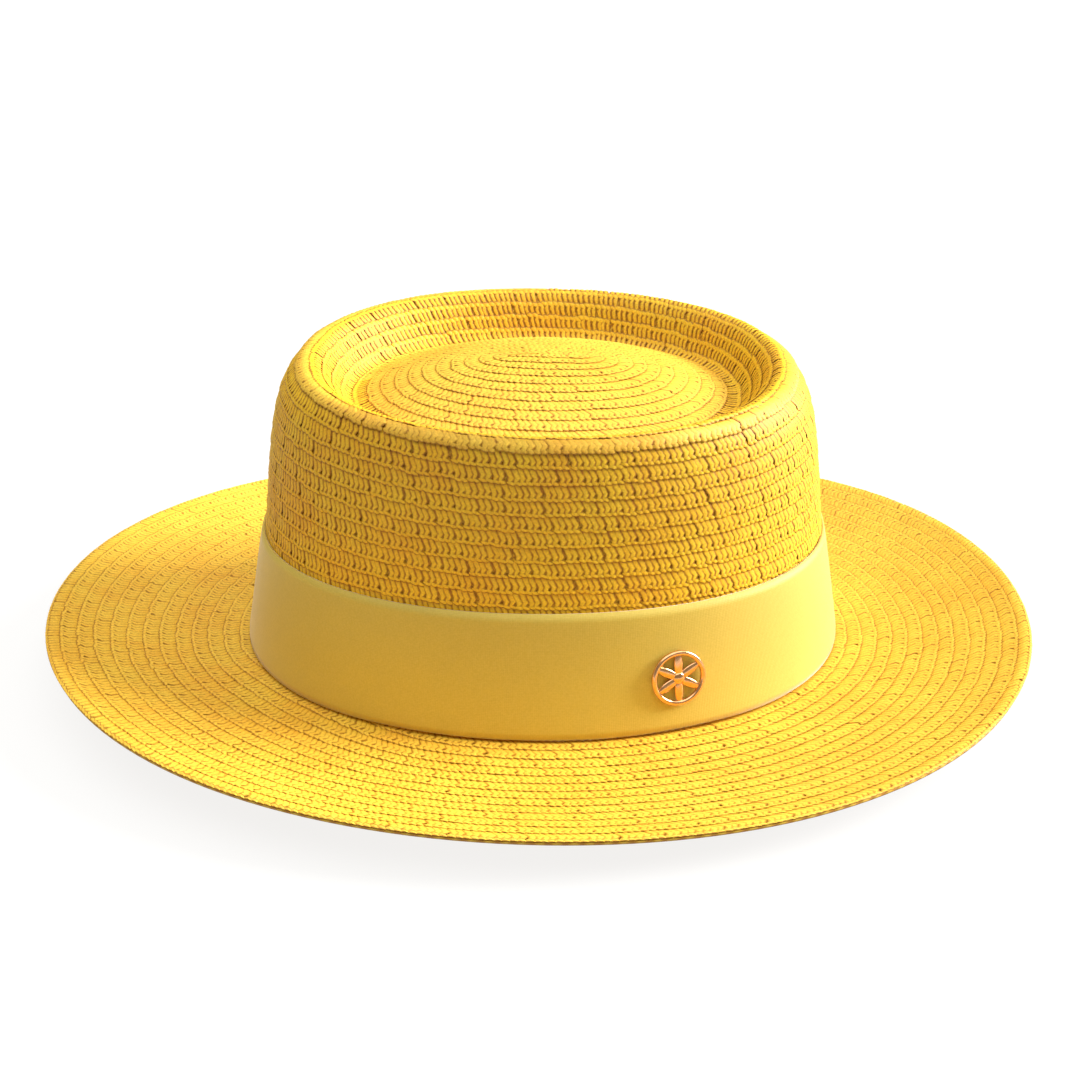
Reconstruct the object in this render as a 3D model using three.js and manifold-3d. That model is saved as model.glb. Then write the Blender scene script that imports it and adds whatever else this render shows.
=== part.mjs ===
// Straw boater hat with a dented, domed crown, a saucer-shaped brim, a ribbon band and a pierced badge.
// Millimetres. +Z is up, +X points to the wearer's front, and the hat rests on the plane z = 0.
import * as THREE from 'three';
import Module from 'manifold-3d';

// Straw and clearances
const STRAW_THICKNESS = 2;
const SEAM_GAP = 0.3;

// Head line, the oval outside the straw where the crown stands on the brim
const HEAD_LENGTH = 208.5;
const HEAD_WIDTH = 167.5;
const HEAD_SHIFT = 1.5;
const OVAL_SQUARENESS = 0.01;
const HEAD_SKEW = 0.01;
const COLLAR_HEIGHT = 8;

// Crown, with heights measured from the top of the brim
const RIM_HEIGHT = 98;
const RIM_LENGTH = 157;
const RIM_WIDTH = 134.6;
const RIM_TILT = 4.8;
const RIM_TILT_TURN = 12;
const RIM_SHIFT = 0;
const WALL_TAPER = 7.85;
const RECESS_DEPTH = 13.8;
const TIP_LENGTH = 128.6;
const TIP_WIDTH = 106;
const TIP_RISE = 13.2;
const TIP_TILT = 2;
const TIP_ROUNDNESS = 1.9;

// Brim
const BRIM_WIDTH = 65;
const BRIM_FLAT_WIDTH = 5.3;
const BRIM_CURL = 1.6;
const EDGE_RISE = 11.6;
const EDGE_RISE_ENDS = 3.6;
const EDGE_RISE_SIDE = 4.2;
const EDGE_TWIST = 1.6;

// Ribbon band
const RIBBON_HEIGHT = 40;
const RIBBON_THICKNESS = 1;

// Badge
const BADGE_DIAMETER = 17.3;
const BADGE_RING_WIDTH = 1.7;
const BADGE_THICKNESS = 1.8;
const BADGE_ANGLE = -64;
const BADGE_HEIGHT = 18;
const PETAL_COUNT = 6;
const PETAL_WIDTH = 2.9;
const BADGE_HUB_DIAMETER = 4;
const POST_DIAMETER = 2.4;
const RIVET_DIAMETER = 6;
const RIVET_THICKNESS = 0.8;

// Facets
const SEGMENTS = 72;
const ROUND_FACETS = 40;
const SMALL_FACETS = 16;

// Crown wall above the ribbon. height is a share of the way from the ribbon's top to the rim,
// ends and sides are shares of the narrowing at the two ends and at the two long sides,
// and tilt is the share of the rim's tilt.
const WALL_ROWS = [
  { height: 0.33, ends: 0.13, sides: 0.29, tilt: 0.25 },
  { height: 0.53, ends: 0.22, sides: 0.4, tilt: 0.5 },
  { height: 0.69, ends: 0.32, sides: 0.54, tilt: 0.72 },
  { height: 0.83, ends: 0.46, sides: 0.67, tilt: 0.88 },
  { height: 0.92, ends: 0.63, sides: 0.8, tilt: 0.97 },
  { height: 0.98, ends: 0.84, sides: 0.925, tilt: 1 },
  { height: 1, ends: 1, sides: 1, tilt: 1 },
];

// Wall of the recess inside the rim. inward is a share of the way from the rim to the tip's edge,
// and drop is a share of the recess depth.
const RECESS_ROWS = [
  { inward: 0.12, drop: 0.03, tilt: 1 },
  { inward: 0.3, drop: 0.16, tilt: 0.95 },
  { inward: 0.5, drop: 0.42, tilt: 0.8 },
  { inward: 0.7, drop: 0.72, tilt: 0.5 },
  { inward: 0.88, drop: 0.94, tilt: 0.15 },
  { inward: 1, drop: 1, tilt: 0 },
];

// Rings of the domed tip and of the brim, as shares of the way out
const TIP_RINGS = [0.93, 0.8, 0.65, 0.48, 0.3, 0.14];
const BRIM_RINGS = [1, 0.92, 0.8, 0.65, 0.5, 0.35, 0.2];

const lerp = THREE.MathUtils.lerp;
const degToRad = THREE.MathUtils.degToRad;

// Worked-out places
const brimTop = STRAW_THICKNESS;
const crownSeat = brimTop + SEAM_GAP;
const ribbonTopHeight = RIBBON_HEIGHT + SEAM_GAP;
const ribbonLine = {
  halfX: HEAD_LENGTH / 2 - WALL_TAPER,
  halfY: HEAD_WIDTH / 2 - WALL_TAPER,
};

// A ring is one level oval of a surface: half length, half width, height above the resting plane,
// shift along X, the height that its far side gains and its near side loses, and its skew.
function ring(halfX, halfY, z, shift, tilt = 0, skew = HEAD_SKEW) {
  return { halfX, halfY, z, shift, tilt, skew };
}

function ringPoint(row, angle) {
  const stretch = 1 - OVAL_SQUARENESS * Math.cos(4 * angle) + row.skew * Math.sin(2 * angle);
  const x = row.halfX * stretch * Math.cos(angle) + row.shift;
  const y = row.halfY * stretch * Math.sin(angle);
  const rise = row.rise ? row.rise(angle) : 0;
  const slant = row.tilt * Math.sin(angle - degToRad(RIM_TILT_TURN));
  return new THREE.Vector3(x, y, row.z + rise + slant);
}

// Outer face of the crown, from the seat up over the rim, down the recess and over the tip
function crownRings() {
  const rows = [];
  const shiftAt = (height) => HEAD_SHIFT + RIM_SHIFT * height / RIM_HEIGHT;
  for (const share of [0, 0.5, 1]) {
    const height = ribbonTopHeight * share;
    const inset = WALL_TAPER * share;
    const z = Math.max(brimTop + height, crownSeat);
    rows.push(ring(HEAD_LENGTH / 2 - inset, HEAD_WIDTH / 2 - inset, z, shiftAt(height)));
  }
  for (const row of WALL_ROWS) {
    const height = lerp(ribbonTopHeight, RIM_HEIGHT, row.height);
    const halfX = lerp(ribbonLine.halfX, RIM_LENGTH / 2, row.ends);
    const halfY = lerp(ribbonLine.halfY, RIM_WIDTH / 2, row.sides);
    rows.push(ring(halfX, halfY, brimTop + height, shiftAt(height), RIM_TILT * row.tilt));
  }
  for (const row of RECESS_ROWS) {
    const height = RIM_HEIGHT - RECESS_DEPTH * row.drop;
    const halfX = lerp(RIM_LENGTH, TIP_LENGTH, row.inward) / 2;
    const halfY = lerp(RIM_WIDTH, TIP_WIDTH, row.inward) / 2;
    const tilt = lerp(TIP_TILT, RIM_TILT, row.tilt);
    rows.push(ring(halfX, halfY, brimTop + height, shiftAt(height), tilt));
  }
  for (const share of [...TIP_RINGS, 0]) {
    const rise = TIP_RISE * (1 - Math.pow(share, TIP_ROUNDNESS));
    const height = RIM_HEIGHT - RECESS_DEPTH + rise;
    const halfX = TIP_LENGTH * share / 2;
    const halfY = TIP_WIDTH * share / 2;
    rows.push(ring(halfX, halfY, brimTop + height, shiftAt(height), TIP_TILT * share));
  }
  return rows;
}

// Height that the brim's surface gains at a share of its width, for a given angle
function brimRise(share) {
  const flat = BRIM_FLAT_WIDTH / BRIM_WIDTH;
  const curl = Math.pow(Math.max(0, (share - flat) / (1 - flat)), BRIM_CURL);
  return (angle) => {
    const ends = EDGE_RISE_ENDS * Math.cos(2 * angle);
    const side = EDGE_RISE_SIDE * Math.sin(angle);
    const twist = EDGE_TWIST * Math.sin(2 * angle);
    return curl * (EDGE_RISE + ends - side + twist);
  };
}

// Upper face of the brim, from its edge in to the head line
function brimRings() {
  const flat = BRIM_FLAT_WIDTH / BRIM_WIDTH;
  return [...BRIM_RINGS, flat, 0].map((share) => {
    const reach = BRIM_WIDTH * share;
    const shift = HEAD_SHIFT * (1 - share);
    const skew = HEAD_SKEW * (1 - share);
    const row = ring(HEAD_LENGTH / 2 + reach, HEAD_WIDTH / 2 + reach, brimTop, shift, 0, skew);
    row.rise = brimRise(share);
    return row;
  });
}

// Moves a ring's point along the surface normal that its neighbours give
function offsetPoint(rows, index, angle, distance) {
  const step = Math.PI / SEGMENTS;
  const here = ringPoint(rows[index], angle);
  if (rows[index].halfX === 0) {
    here.z += distance;
    return here;
  }
  const before = ringPoint(rows[Math.max(index - 1, 0)], angle);
  const after = ringPoint(rows[Math.min(index + 1, rows.length - 1)], angle);
  const along = after.sub(before);
  const around = ringPoint(rows[index], angle + step).sub(ringPoint(rows[index], angle - step));
  const normal = around.cross(along).normalize();
  return here.addScaledVector(normal, distance);
}

// A turned body whose section is a list of functions of the angle. A lathe gives the faces,
// and each of its points then takes its own place on the oval.
function ovalBody(section, closed) {
  const outline = closed ? [...section, section[0]] : section;
  const last = outline.length - 1;
  const profile = outline.map((_, index) => {
    const onAxis = !closed && (index === 0 || index === last);
    return new THREE.Vector2(onAxis ? 0 : 1, index);
  });
  const geometry = new THREE.LatheGeometry(profile, SEGMENTS);
  const position = geometry.attributes.position;
  for (let segment = 0; segment <= SEGMENTS; segment += 1) {
    const angle = 2 * Math.PI * (segment % SEGMENTS) / SEGMENTS;
    outline.forEach((place, index) => {
      const point = place(angle);
      position.setXYZ(segment * outline.length + index, point.x, point.y, point.z);
    });
  }
  geometry.computeVertexNormals();
  return geometry;
}

// The same point lowered or raised to a level plane
function atHeight(place, z) {
  return (angle) => place(angle).setZ(z);
}

function crownGeometry() {
  const rows = crownRings();
  const outer = rows.map((row) => (angle) => ringPoint(row, angle));
  const inner = rows.map((_, index) => (angle) => offsetPoint(rows, index, angle, -STRAW_THICKNESS));
  inner[0] = atHeight(inner[0], crownSeat);
  return ovalBody([...inner.reverse(), ...outer], false);
}

// The brim and the collar that it sends up inside the crown, as one closed section
function brimGeometry() {
  const rows = brimRings();
  const top = rows.map((row) => (angle) => ringPoint(row, angle));
  const under = rows.map((_, index) => (angle) => offsetPoint(rows, index, angle, -STRAW_THICKNESS));
  under[rows.length - 1] = atHeight(under[rows.length - 1], 0);
  under[rows.length - 2] = atHeight(under[rows.length - 2], 0);
  const wall = crownRings();
  const collarOuter = STRAW_THICKNESS + SEAM_GAP;
  const collarInner = collarOuter + STRAW_THICKNESS;
  const lower = (depth) => (angle) => offsetPoint(wall, 0, angle, -depth);
  const upper = (depth) => (angle) => {
    const share = COLLAR_HEIGHT / (wall[1].z - wall[0].z);
    return lower(depth)(angle).lerp(offsetPoint(wall, 1, angle, -depth), share);
  };
  const section = [
    atHeight(lower(collarInner), 0),
    ...under.reverse(),
    ...top,
    atHeight(lower(collarOuter), brimTop),
    upper(collarOuter),
    upper(collarInner),
  ];
  return ovalBody(section, true);
}

// The ribbon follows the crown's wall at the seam gap
function ribbonGeometry() {
  const wall = crownRings();
  const face = (index, distance) => (angle) => offsetPoint(wall, index, angle, distance);
  const innerDistance = SEAM_GAP;
  const outerDistance = SEAM_GAP + RIBBON_THICKNESS;
  const section = [
    atHeight(face(0, innerDistance), crownSeat),
    atHeight(face(0, outerDistance), crownSeat),
    face(1, outerDistance),
    atHeight(face(2, outerDistance), wall[2].z),
    atHeight(face(2, innerDistance), wall[2].z),
    face(1, innerDistance),
  ];
  return ovalBody(section, true);
}

// Solid booleans, on meshes whose like points are welded to within a fraction of a micrometre
const WELD_STEPS = 1e4;
const wasm = await Module();
wasm.setup();

function toManifold(geometry) {
  const source = geometry.index ? geometry.toNonIndexed() : geometry;
  const position = source.attributes.position;
  const lookup = new Map();
  const vertices = [];
  const corners = [];
  for (let index = 0; index < position.count; index += 1) {
    const place = [position.getX(index), position.getY(index), position.getZ(index)];
    const key = place.map((value) => Math.round(value * WELD_STEPS)).join(' ');
    if (!lookup.has(key)) {
      lookup.set(key, vertices.length / 3);
      vertices.push(...place);
    }
    corners.push(lookup.get(key));
  }
  const faces = [];
  for (let index = 0; index < corners.length; index += 3) {
    const [a, b, c] = corners.slice(index, index + 3);
    if (a !== b && b !== c && c !== a) {
      faces.push(a, b, c);
    }
  }
  return new wasm.Manifold(new wasm.Mesh({
    numProp: 3,
    vertProperties: new Float32Array(vertices),
    triVerts: new Uint32Array(faces),
  }));
}

function fromManifold(solid) {
  const mesh = solid.getMesh();
  const geometry = new THREE.BufferGeometry();
  geometry.setAttribute('position', new THREE.BufferAttribute(mesh.vertProperties, 3));
  geometry.setIndex(new THREE.BufferAttribute(mesh.triVerts, 1));
  geometry.computeVertexNormals();
  return geometry;
}

// Where the badge sits on the ribbon: the origin is on the ribbon's outer face, +Z points outward
function badgeFrame() {
  const wall = crownRings();
  const angle = degToRad(BADGE_ANGLE);
  const share = BADGE_HEIGHT / (ribbonTopHeight / 2);
  const distance = SEAM_GAP + RIBBON_THICKNESS;
  const onRibbon = (turn) => {
    const low = offsetPoint(wall, 0, turn, distance);
    return low.lerp(offsetPoint(wall, 1, turn, distance), share);
  };
  const step = Math.PI / SEGMENTS;
  const right = onRibbon(angle + step).sub(onRibbon(angle - step)).normalize();
  const climb = offsetPoint(wall, 1, angle, distance).sub(offsetPoint(wall, 0, angle, distance));
  const outward = right.clone().cross(climb).normalize();
  const up = outward.clone().cross(right);
  const frame = new THREE.Matrix4().makeBasis(right, up, outward);
  return frame.setPosition(onRibbon(angle));
}

// The badge is a ring round an open six-petalled flower, with a plain post and a clenched end
function badgeGeometry() {
  const outer = BADGE_DIAMETER / 2;
  const inner = outer - BADGE_RING_WIDTH;
  const extrude = { depth: BADGE_THICKNESS, bevelEnabled: false, curveSegments: SMALL_FACETS };
  const round = { ...extrude, curveSegments: ROUND_FACETS / 2 };

  const ringShape = new THREE.Shape().absarc(0, 0, outer, 0, 2 * Math.PI);
  ringShape.holes.push(new THREE.Path().absarc(0, 0, inner, 0, 2 * Math.PI));
  let solid = toManifold(new THREE.ExtrudeGeometry(ringShape, round));

  const hub = new THREE.Shape().absarc(0, 0, BADGE_HUB_DIAMETER / 2, 0, 2 * Math.PI);
  solid = solid.add(toManifold(new THREE.ExtrudeGeometry(hub, extrude)));

  const petalLength = inner + BADGE_RING_WIDTH / 2;
  const petal = new THREE.Shape();
  petal.absellipse(petalLength / 2, 0, petalLength / 2, PETAL_WIDTH / 2, 0, 2 * Math.PI);
  for (let count = 0; count < PETAL_COUNT; count += 1) {
    const turned = new THREE.ExtrudeGeometry(petal, { ...extrude, curveSegments: SMALL_FACETS / 2 });
    turned.rotateZ(2 * Math.PI * (count + 0.5) / PETAL_COUNT);
    solid = solid.add(toManifold(turned));
  }

  const stack = SEAM_GAP + RIBBON_THICKNESS + SEAM_GAP + STRAW_THICKNESS + SEAM_GAP;
  const post = new THREE.CylinderGeometry(
    POST_DIAMETER / 2, POST_DIAMETER / 2, stack + RIVET_THICKNESS + BADGE_THICKNESS / 2, SMALL_FACETS);
  post.rotateX(Math.PI / 2);
  post.translate(0, 0, (BADGE_THICKNESS / 2 - stack - RIVET_THICKNESS) / 2);
  solid = solid.add(toManifold(post));

  const rivet = new THREE.CylinderGeometry(
    RIVET_DIAMETER / 2, RIVET_DIAMETER / 2, RIVET_THICKNESS, SMALL_FACETS);
  rivet.rotateX(Math.PI / 2);
  rivet.translate(0, 0, -stack - RIVET_THICKNESS / 2);
  return fromManifold(solid.add(toManifold(rivet)));
}

// The hole for the badge's post, through the ribbon and the crown's wall
function postHole(frame) {
  const length = 4 * (RIBBON_THICKNESS + STRAW_THICKNESS);
  const radius = POST_DIAMETER / 2 + SEAM_GAP;
  const hole = new THREE.CylinderGeometry(radius, radius, length, SMALL_FACETS);
  hole.rotateX(Math.PI / 2);
  hole.applyMatrix4(frame);
  return toManifold(hole);
}

// Materials
const straw = { color: 0xe9c02f, roughness: 0.7, metalness: 0 };
const satin = { color: 0xedc94f, roughness: 0.5, metalness: 0 };
const gold = { color: 0xd9a066, roughness: 0.2, metalness: 1 };

function piece(name, geometry, look) {
  const mesh = new THREE.Mesh(geometry, new THREE.MeshStandardMaterial(look));
  mesh.name = name;
  return mesh;
}

const badgePlace = badgeFrame();
const hole = postHole(badgePlace);

const hat = new THREE.Group();
hat.name = 'straw_boater_hat';
hat.add(piece('brim', brimGeometry(), straw));
hat.add(piece('crown', fromManifold(toManifold(crownGeometry()).subtract(hole)), straw));
hat.add(piece('ribbon_band', fromManifold(toManifold(ribbonGeometry()).subtract(hole)), satin));

const badge = piece('badge', badgeGeometry(), gold);
const standOff = new THREE.Matrix4().makeTranslation(0, 0, SEAM_GAP);
badgePlace.clone().multiply(standOff).decompose(badge.position, badge.quaternion, badge.scale);
hat.add(badge);

export default hat;
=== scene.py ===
# %% [markdown]
# # A straw hat, braid by braid
# The hat is sewn from one long straw braid that winds outwards from the middle of the crown.
# Each row of braid is tucked under the edge of the row before it, which leaves a shadow line between rows.
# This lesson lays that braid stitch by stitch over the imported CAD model, then adds the ribbon and the badge.
# Lengths are in metres where no comment says otherwise,
# and each piece is made in the place that the CAD model gives.

import math

import bpy
import numpy as np
from mathutils import Matrix, Vector
from mathutils.bvhtree import BVHTree


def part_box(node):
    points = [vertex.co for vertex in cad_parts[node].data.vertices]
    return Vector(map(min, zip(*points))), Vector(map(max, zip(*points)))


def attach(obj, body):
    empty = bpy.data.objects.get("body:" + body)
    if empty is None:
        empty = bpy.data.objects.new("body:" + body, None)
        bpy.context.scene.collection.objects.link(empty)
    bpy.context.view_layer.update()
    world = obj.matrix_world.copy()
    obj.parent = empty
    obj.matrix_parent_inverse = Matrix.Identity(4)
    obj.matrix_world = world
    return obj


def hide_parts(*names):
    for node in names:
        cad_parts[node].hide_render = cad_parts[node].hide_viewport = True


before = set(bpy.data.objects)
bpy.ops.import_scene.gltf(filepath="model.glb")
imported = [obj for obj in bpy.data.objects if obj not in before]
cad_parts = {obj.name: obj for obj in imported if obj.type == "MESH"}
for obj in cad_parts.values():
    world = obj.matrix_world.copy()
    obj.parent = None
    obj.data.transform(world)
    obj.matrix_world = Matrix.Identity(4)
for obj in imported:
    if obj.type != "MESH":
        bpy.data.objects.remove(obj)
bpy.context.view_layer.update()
print("CAD nodes:", sorted(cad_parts))

# %% [markdown]
# ## The camera
# The photograph looks down on the hat by 25 degrees from about half a metre away.
# The place, tilt and lens were worked out from the hat's outline, so the picture lines up with the solids.
# The camera also rolls by a fraction of a degree, which is turned about its own viewing axis.

# %% Camera
MM = 0.001
CAMERA_PLACE = (0, -441.25 * MM, 236.9 * MM)
LOOK_DOWN = math.radians(24.97)
CAMERA_ROLL = math.radians(0.4)
LENS = 46.19
SENSOR_WIDTH = 36
NEAREST_SEEN = 10 * MM

bpy.ops.object.camera_add(location=CAMERA_PLACE)
camera = bpy.context.object
tilt = Matrix.Rotation(math.pi / 2 - LOOK_DOWN, 3, "X")
camera.rotation_euler = (tilt @ Matrix.Rotation(CAMERA_ROLL, 3, "Z")).to_euler()
camera.data.lens = LENS
camera.data.sensor_width = SENSOR_WIDTH
camera.data.clip_start = NEAREST_SEEN
bpy.context.scene.camera = camera
print("camera looks from", tuple(round(value, 3) for value in camera.location))

# %% [markdown]
# ## Floor and light
# The hat stands on a plain pale floor that melts into the background.
# One large soft light comes from the right and a little from behind, as the shaded front of the crown shows.
# A weaker and much softer one from straight above lights the tip and the brim.
# A pale, warm world fills the shadows, and a glow in the floor keeps the hat's shadow light,
# as in a photo studio.

# %% Floor
FLOOR_SIZE = 40
FLOOR_TONE = (0.14, 0.14, 0.14, 1)
WHITE_LIGHT = (1, 1, 1, 1)
FLOOR_GLOW = 0.84


def deselect():
    bpy.ops.object.select_all(action="DESELECT")


deselect()
bpy.ops.mesh.primitive_plane_add(size=FLOOR_SIZE, location=(0, 0, 0))
floor = bpy.context.object
floor.name = "floor"
floor_paint = bpy.data.materials.new("pale_floor")
floor_paint.use_nodes = True
floor_shader = floor_paint.node_tree.nodes["Principled BSDF"]
floor_shader.inputs["Base Color"].default_value = FLOOR_TONE
floor_shader.inputs["Roughness"].default_value = 0.9
floor_shader.inputs["Specular IOR Level"].default_value = 0.1
floor_shader.inputs["Emission Color"].default_value = WHITE_LIGHT
floor_shader.inputs["Emission Strength"].default_value = FLOOR_GLOW
floor.data.materials.append(floor_paint)
floor.visible_diffuse = False
print("floor:", FLOOR_SIZE, "m wide")

# %% Lights
KEY_FROM = Vector((0.82, 0.17, 0.42))
KEY_STRENGTH = 6.9
KEY_SOFTNESS = math.radians(30)
OVERHEAD_FROM = Vector((0, 0, 1))
OVERHEAD_STRENGTH = 2.35
OVERHEAD_SOFTNESS = math.radians(80)
LIGHT_TONE = (1.0, 0.985, 0.95)


def far_light(name, come_from, strength, softness):
    """Add a light from endlessly far away. Its softness is the angle that it fills in the sky."""
    bpy.ops.object.light_add(type="SUN", location=come_from)
    light = bpy.context.object
    light.name = name
    light.data.energy = strength
    light.data.angle = softness
    light.data.color = LIGHT_TONE
    light.rotation_euler = come_from.to_track_quat("Z", "Y").to_euler()


far_light("key_light", KEY_FROM, KEY_STRENGTH, KEY_SOFTNESS)
far_light("overhead_light", OVERHEAD_FROM, OVERHEAD_STRENGTH, OVERHEAD_SOFTNESS)
print("key light from", tuple(round(value, 2) for value in KEY_FROM.normalized()))

# %% Studio walls
FILL_TONE = (1.0, 0.93, 0.70, 1)
FILL_STRENGTH = 0.33
BACKDROP_STRENGTH = 1.0

world = bpy.context.scene.world or bpy.data.worlds.new("studio")
bpy.context.scene.world = world
world.use_nodes = True
sky = world.node_tree
fill = sky.nodes["Background"]
backdrop = sky.nodes.new("ShaderNodeBackground")
choose = sky.nodes.new("ShaderNodeMixShader")
ray = sky.nodes.new("ShaderNodeLightPath")
fill.inputs["Color"].default_value = FILL_TONE
fill.inputs["Strength"].default_value = FILL_STRENGTH
backdrop.inputs["Color"].default_value = WHITE_LIGHT
backdrop.inputs["Strength"].default_value = BACKDROP_STRENGTH
sky.links.new(ray.outputs["Is Camera Ray"], choose.inputs["Fac"])
sky.links.new(fill.outputs["Background"], choose.inputs[1])
sky.links.new(backdrop.outputs["Background"], choose.inputs[2])
sky.links.new(choose.outputs["Shader"], sky.nodes["World Output"].inputs["Surface"])
bpy.context.scene.view_settings.view_transform = "Standard"
print("fill light:", FILL_STRENGTH, "backdrop:", BACKDROP_STRENGTH)

# %% [markdown]
# ## Reading the surface that the braid follows
# The braid lies on the crown and the brim, so its rows are placed on the CAD surface itself.
# Rays are shot straight down on the top and level at the side, and their hits give a section
# for each direction.
# In plan the sections fan out from a short line, not from a point,
# because an oval hat starts from a folded end of braid.
# A ray that slips through the hole of the badge's pin lands far inside, so such a hit is left out.

# %% Sections of the crown
TURN = 2 * math.pi
DIRECTIONS = 180
SEED_HALF = 11.2 * MM
CENTRE_X = 1.5 * MM
SEAT = 2.4 * MM
RIBBON_TOP = 42.3 * MM
NEAR_RIM = 60 * MM
PAST_CROWN = 120 * MM
STEEP = 0.45
HOLE_JUMP = 8 * MM
RAY_HEIGHT = 0.3
RAY_DISTANCE = 0.2
DOWN = Vector((0, 0, -1))
angles = np.arange(DIRECTIONS) * TURN / DIRECTIONS


def tree_of(node):
    """A search tree of a CAD node, which finds what a ray hits."""
    return BVHTree.FromObject(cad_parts[node], bpy.context.evaluated_depsgraph_get())


def plan(angle, reach, half, height):
    """A place at a reach from the short middle line, whose half length is given."""
    return Vector((CENTRE_X + (half + reach) * math.cos(angle), reach * math.sin(angle), height))


def drop(tree, angle, reach, half):
    """The place and normal that a ray from above hits. The place is None where it hits nothing."""
    return tree.ray_cast(plan(angle, reach, half, RAY_HEIGHT), DOWN)[:2]


def crown_section(tree, angle):
    """Places on the crown from its middle over the rim and down to its foot."""
    hits = []
    for reach in np.arange(0, PAST_CROWN, MM):
        place, normal = drop(tree, angle, reach, SEED_HALF)
        if place is None or (reach > NEAR_RIM and normal.z < STEEP):
            break
        hits.append(place)
    inward = Vector((-math.cos(angle), -math.sin(angle), 0))
    for height in np.arange(hits[-1].z - MM, SEAT, -MM):
        place = tree.ray_cast(plan(angle, RAY_DISTANCE, SEED_HALF, height), inward)[0]
        if (place - hits[-1]).length < HOLE_JUMP:
            hits.append(place)
    return np.array(hits)


crown_tree = tree_of("crown")
crown_sections = [crown_section(crown_tree, angle) for angle in angles]
print("points in a crown section:", len(crown_sections[0]))

# %% [markdown]
# ## Rows
# A row number takes the place of a length: row 0 starts at the middle,
# and each whole number is one row of braid.
# Fixed row numbers at the rim's crest and at the ribbon's top edge keep the rows parallel to both.
# The samples are then smoothed, so the facets of the CAD solid don't show in the straw.

# %% Row helpers
ROW_STEPS = 8
SMOOTH_ROUNDS = 6
SURFACE_WAVES = 16
SEED_SAMPLES = 3
UP_NUDGE = (0, 0, 1e-7)


def keep_slow(values, waves):
    """Keep what changes slowly round the hat, up to a number of waves in one turn."""
    spectrum = np.fft.rfft(values, axis=0)
    spectrum[waves + 1:] = 0
    return np.fft.irfft(spectrum, n=len(values), axis=0)


def lengths_along(section):
    steps = np.linalg.norm(np.diff(section, axis=0), axis=1)
    return np.concatenate([[0], np.cumsum(steps)])


def resample(section, lengths, wanted):
    return np.stack([np.interp(wanted, lengths, section[:, axis]) for axis in range(3)], axis=1)


def smooth_surface(grid):
    grid = keep_slow(grid, SURFACE_WAVES)
    for _ in range(SMOOTH_ROUNDS):
        grid[:, 1:-1] = (grid[:, :-2] + 2 * grid[:, 1:-1] + grid[:, 2:]) / 4
    return grid


def with_normals(grid):
    """The grid and its normals. A nudge upwards gives the middle line, which has no width, a normal too."""
    along = np.gradient(grid, axis=1)
    around = np.roll(grid, -1, axis=0) - np.roll(grid, 1, axis=0)
    normal = np.cross(along, around)
    normal[:, :SEED_SAMPLES] += UP_NUDGE
    normal /= np.linalg.norm(normal, axis=2, keepdims=True)
    return grid, normal


print("samples in a row of braid:", ROW_STEPS)

# %% Crown rows
CREST_ROW = 15.45
RIBBON_ROW = 26.75
SEAT_ROW = 34.5
CREST_WAVES = 6
RIBBON_WAVES = 8


def crown_rows():
    measured = [lengths_along(section) for section in crown_sections]
    crests, edges = [], []
    for section, lengths in zip(crown_sections, measured):
        rim = lengths > NEAR_RIM
        crests.append(lengths[rim][np.argmax(section[rim, 2])])
        edges.append(np.interp(-RIBBON_TOP, -section[rim, 2], lengths[rim]))
    crests = keep_slow(np.array(crests), CREST_WAVES)
    edges = keep_slow(np.array(edges), RIBBON_WAVES)
    rows = np.arange(int(SEAT_ROW * ROW_STEPS) + 1) / ROW_STEPS
    fixed_rows = [0, CREST_ROW, RIBBON_ROW, SEAT_ROW]
    grid = []
    for section, lengths, crest, edge in zip(crown_sections, measured, crests, edges):
        wanted = np.interp(rows, fixed_rows, [0, crest, edge, lengths[-1]])
        grid.append(resample(section, lengths, wanted))
    wall_width = (edges - crests).mean() / (RIBBON_ROW - CREST_ROW)
    print("row width on the tip:", round(crests.mean() / CREST_ROW / MM, 2), "mm")
    print("row width on the wall:", round(wall_width / MM, 2), "mm")
    return with_normals(smooth_surface(np.array(grid)))


crown_surface = crown_rows()

# %% Brim rows
BRIM_SEED_HALF = 20.5 * MM
BRIM_ROWS = 13
HEAD_REACH = 81.9 * MM
EDGE_INSET = 0.35 * MM
FIRST_STEP = 5 * MM
LAST_STEP = 0.01 * MM
BRIM_SAMPLES = 90


def brim_section(tree, angle):
    """Places on the brim from the head opening to its edge, which ever smaller steps find."""
    reach, step = HEAD_REACH, FIRST_STEP
    while step > LAST_STEP:
        if drop(tree, angle, reach + step, BRIM_SEED_HALF)[0] is None:
            step /= 2
        else:
            reach += step
    reaches = np.linspace(HEAD_REACH, reach - EDGE_INSET, BRIM_SAMPLES)
    return np.array([drop(tree, angle, each, BRIM_SEED_HALF)[0] for each in reaches])


def brim_rows():
    tree = tree_of("brim")
    grid = []
    for angle in angles:
        section = brim_section(tree, angle)
        lengths = lengths_along(section)
        grid.append(resample(section, lengths, np.linspace(0, lengths[-1], BRIM_ROWS * ROW_STEPS + 1)))
    return with_normals(smooth_surface(np.array(grid)))


brim_surface = brim_rows()
print("brim samples:", brim_surface[0].shape)

# %% [markdown]
# ## One stitch of braid
# A stitch is two flat straw strands that cross the row on a slant, one beside the other, and two short loops
# along its free edge.
# It could be a curve with a bevel, but then the strand would be round, and real straw is flat.
# So a four-sided ring is extruded from point to point, and its width and height are changed at each step.
# Along the braid a stitch is measured in stitches, across the braid in rows, and upwards in millimetres.
# The laying turns these into metres later.

# %% Strand
RING_SIDES = 4
UPRIGHT = (math.pi / 2, 0, 0)
SIDEWAYS = (0, math.pi / 2, 0)


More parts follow.
